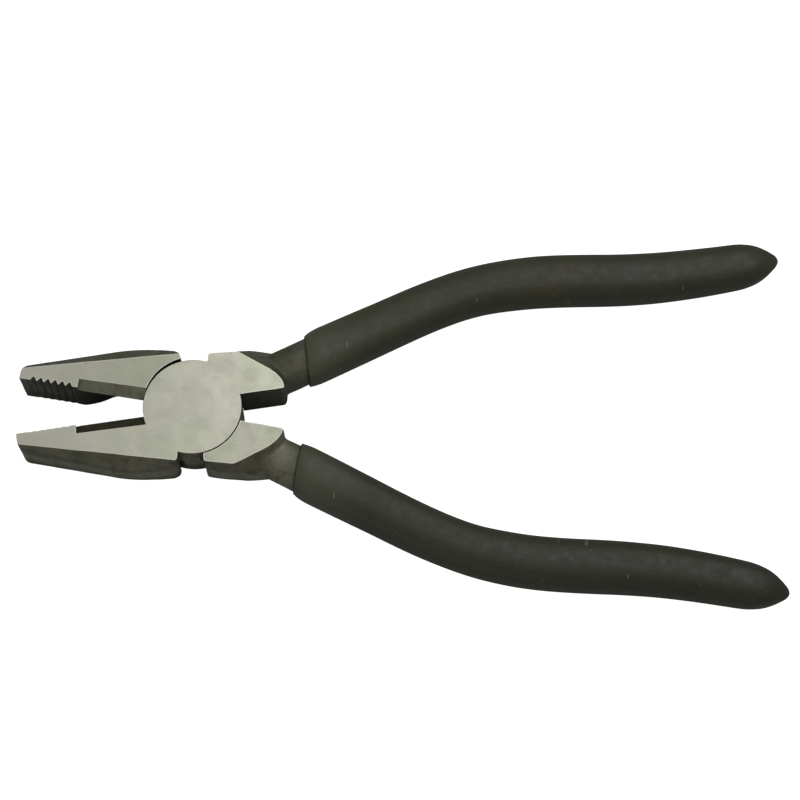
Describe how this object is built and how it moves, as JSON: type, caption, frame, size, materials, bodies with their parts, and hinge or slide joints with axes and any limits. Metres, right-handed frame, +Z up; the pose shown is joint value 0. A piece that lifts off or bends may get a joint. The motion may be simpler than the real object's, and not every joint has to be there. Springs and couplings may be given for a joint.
{
  "type": "lineman pliers",
  "caption": "Lineman pliers with a lap joint, serrated flat nose, side cutters and bent handles in vinyl sleeves, lying flat with the jaws part open.",
  "frame": {"origin": "on the pivot axis, at the ground face that the pliers lie on", "axes": "+X from the pivot towards the handle ends, the jaws point along -X, +Z up along the pivot axis, +Y towards the handle of the half with the upper lap"},
  "size_m": [0.2051, 0.1021, 0.0146],
  "materials": {
    "forged_steel": "satin, ground on the two flat faces and blackened elsewhere",
    "rivet_steel": "satin, ground flush",
    "vinyl_sleeve": "matt, fine texture"
  },
  "bodies": {
    "lower_half": {"lower_lap_forging": "forged_steel", "lower_half_grip": "vinyl_sleeve", "pivot_rivet": "rivet_steel"},
    "upper_half": {"upper_lap_forging": "forged_steel", "upper_half_grip": "vinyl_sleeve"}
  },
  "joints": [
    {"name": "pivot", "type": "hinge", "parent": "lower_half", "child": "upper_half", "pos_m": [0, 0, 0.0073], "axis": [0, 0, 1], "range_deg": [-18.6, 26.5]}
  ]
}
